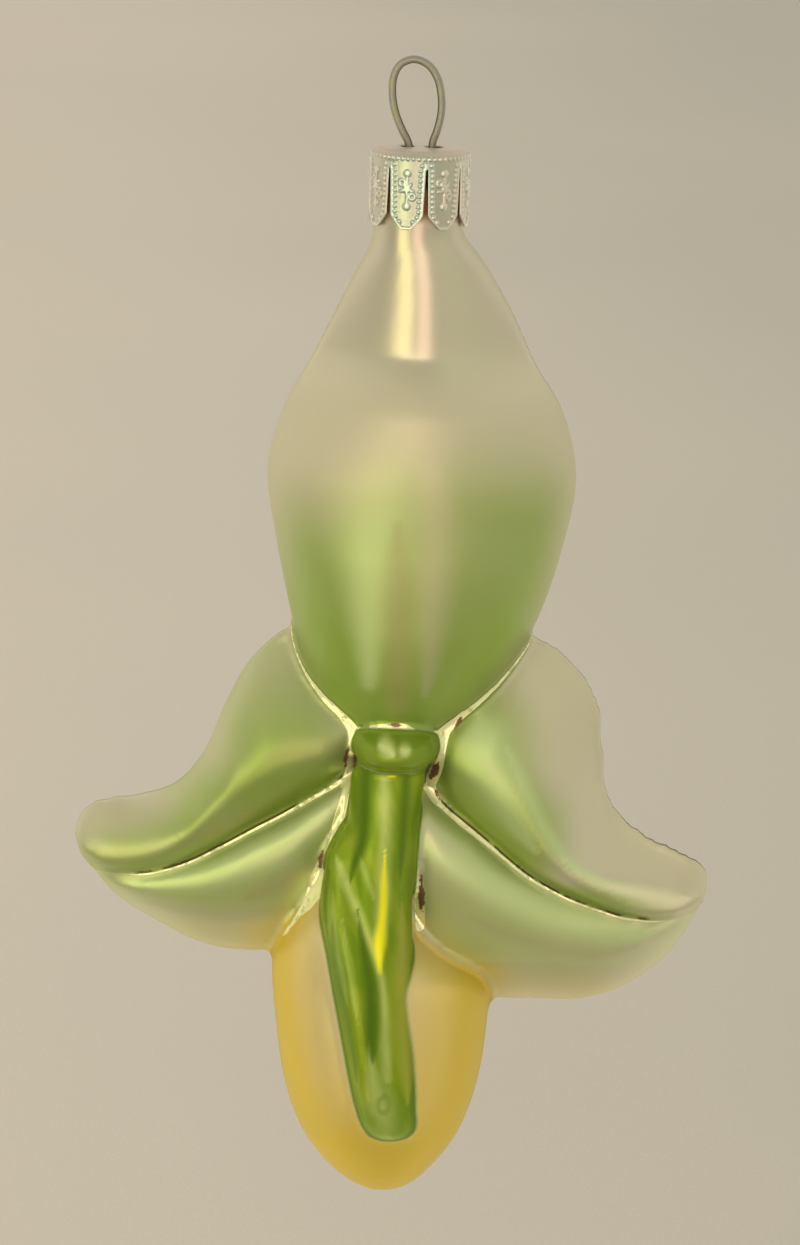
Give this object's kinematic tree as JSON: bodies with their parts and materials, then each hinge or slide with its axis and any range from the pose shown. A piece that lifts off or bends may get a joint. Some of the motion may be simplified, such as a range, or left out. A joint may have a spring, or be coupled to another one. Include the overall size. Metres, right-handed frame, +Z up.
{
  "type": "blown glass orchid ornament",
  "caption": "Hanging ornament of blown glass shaped as a slipper orchid flower, with a stamped metal crown cap over its neck and a bent wire loop to hang it by.",
  "frame": {"origin": "inside top of the wire loop, in the middle of the wire's thickness, where a hook or a string carries the ornament", "axes": "+Z up as it hangs, +X to the right seen from the stalk's side, +Y away from the stalk's side and through the loop"},
  "size_m": [0.0773, 0.0307, 0.1404],
  "materials": {
    "lacquered_glass": "satin pearl lacquer over silvered glass, cream to green, amber on the pouch, bare silver in the creases",
    "stamped_cap": "thin stamped sheet, silver coloured, embossed and slightly dull",
    "spring_wire": "drawn wire, dull grey with a faint yellow sheen"
  },
  "bodies": {
    "root": {"glass_body": "lacquered_glass", "crown_cap": "stamped_cap", "wire_hanger": "spring_wire"}
  },
  "joints": []
}
